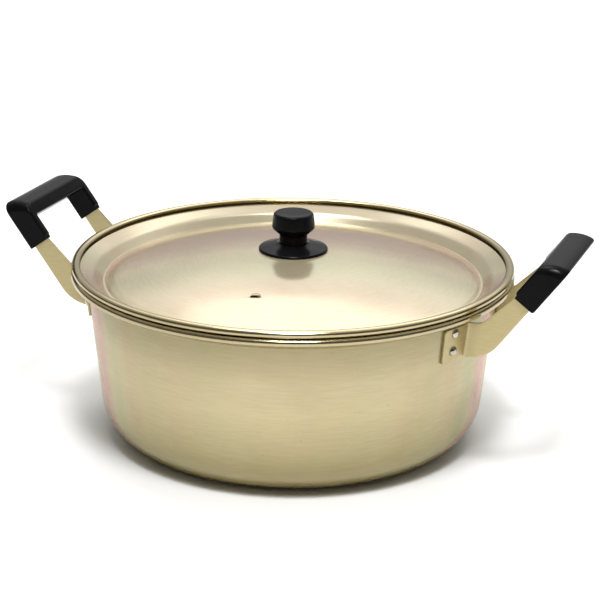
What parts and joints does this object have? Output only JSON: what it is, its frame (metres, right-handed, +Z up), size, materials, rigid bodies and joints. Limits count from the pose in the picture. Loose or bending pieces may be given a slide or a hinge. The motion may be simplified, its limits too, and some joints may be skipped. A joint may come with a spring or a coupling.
{
  "type": "two-handled stockpot with lid",
  "caption": "Low round metal cooking pot with a tapered wall, rolled rim, domed lift-off lid with a black knob, and riveted strap handles with black grips.",
  "frame": {"origin": "centre of the flat base, on the plane the pot stands on", "axes": "+Z up along the pot's axis and the way the lid lifts; the two handles point along +X and -X; the lid's steam vent is on the -Y side"},
  "size_m": [0.4374, 0.332, 0.1709],
  "materials": {
    "gold_aluminium": "pale gold anodised, fine circular brushing, satin",
    "black_phenolic": "moulded, semi-gloss",
    "brass_insert": "turned",
    "plated_steel": "zinc plated",
    "rivet_aluminium": "bright, anodised with the pot"
  },
  "bodies": {
    "pot": {"pot_body": "gold_aluminium", "handle_strap_right": "gold_aluminium", "handle_strap_left": "gold_aluminium", "handle_grip_right": "black_phenolic", "handle_grip_left": "black_phenolic", "rivet_right_front_upper": "rivet_aluminium", "rivet_right_front_lower": "rivet_aluminium", "rivet_right_back_upper": "rivet_aluminium", "rivet_right_back_lower": "rivet_aluminium", "rivet_left_front_upper": "rivet_aluminium", "rivet_left_front_lower": "rivet_aluminium", "rivet_left_back_upper": "rivet_aluminium", "rivet_left_back_lower": "rivet_aluminium"},
    "lid": {"lid_shell": "gold_aluminium", "knob_grip": "black_phenolic", "knob_flange": "black_phenolic", "knob_insert": "brass_insert", "knob_screw": "plated_steel", "knob_washer": "plated_steel"}
  },
  "joints": [
    {"name": "lid_lift", "type": "slide", "parent": "pot", "child": "lid", "axis": [0, 0, 1], "range_m": [0, 0.12]}
  ]
}
